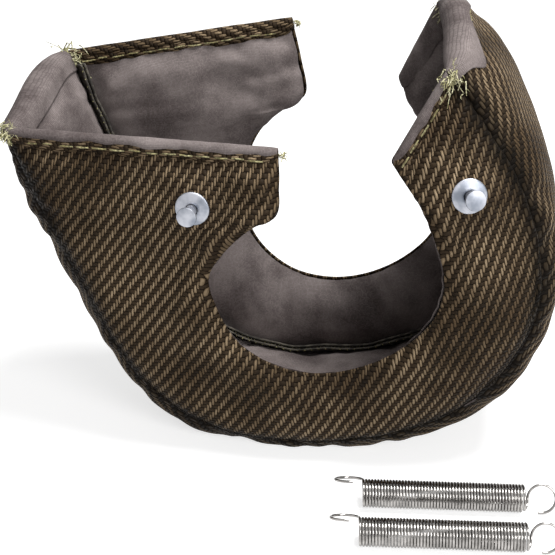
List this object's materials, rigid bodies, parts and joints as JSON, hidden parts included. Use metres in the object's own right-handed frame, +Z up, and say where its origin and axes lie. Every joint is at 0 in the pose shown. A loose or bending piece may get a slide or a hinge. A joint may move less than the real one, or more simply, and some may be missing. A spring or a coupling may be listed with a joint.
{
  "type": "turbo heat blanket",
  "caption": "C-shaped padded heat blanket with a twill outer cover and plain lining, lacing anchors on its side walls and loose tension springs that pull it closed round a turbine housing.",
  "frame": {"origin": "middle of the whole object's footprint, on the surface that it stands on", "axes": "+X from the long left arm to the right arm, +Y from the front wall to the rear wall, +Z up"},
  "size_m": [0.226, 0.1556, 0.1758],
  "materials": {
    "cover_cloth": "bronze-brown 2/2 twill, slightly lustrous",
    "lining_cloth": "grey-mauve plain weave, matt",
    "insulation": "white needled fibre mat",
    "sewing_thread": "olive-yellow twisted fibre thread",
    "anchor_steel": "zinc plated, satin",
    "spring_steel": "bright polished wire"
  },
  "bodies": {
    "root": {"front_cover": "cover_cloth", "front_insulation": "insulation", "front_lining": "lining_cloth", "rim_cover": "cover_cloth", "rim_insulation": "insulation", "rim_lining": "lining_cloth", "rear_cover": "cover_cloth", "rear_insulation": "insulation", "rear_lining": "lining_cloth", "front_seam_allowance": "lining_cloth", "rear_seam_allowance": "lining_cloth", "front_left_hem_thread": "sewing_thread", "front_right_hem_thread": "sewing_thread", "rim_left_hem_thread": "sewing_thread", "rim_right_hem_thread": "sewing_thread", "rear_left_hem_thread": "sewing_thread", "rear_right_hem_thread": "sewing_thread", "front_left_corner_tack": "sewing_thread", "rear_left_corner_tack": "sewing_thread", "front_right_corner_tack": "sewing_thread", "rear_right_corner_tack": "sewing_thread", "front_tab_tack": "sewing_thread", "rear_tab_tack": "sewing_thread", "front_left_anchor_pin": "anchor_steel", "front_left_anchor_washer": "anchor_steel", "front_left_anchor_retainer": "anchor_steel", "front_right_anchor_pin": "anchor_steel", "front_right_anchor_washer": "anchor_steel", "front_right_anchor_retainer": "anchor_steel", "rear_left_anchor_pin": "anchor_steel", "rear_left_anchor_washer": "anchor_steel", "rear_left_anchor_retainer": "anchor_steel", "rear_right_anchor_pin": "anchor_steel", "rear_right_anchor_washer": "anchor_steel", "rear_right_anchor_retainer": "anchor_steel", "tension_spring_1": "spring_steel", "tension_spring_2": "spring_steel"}
  },
  "joints": []
}
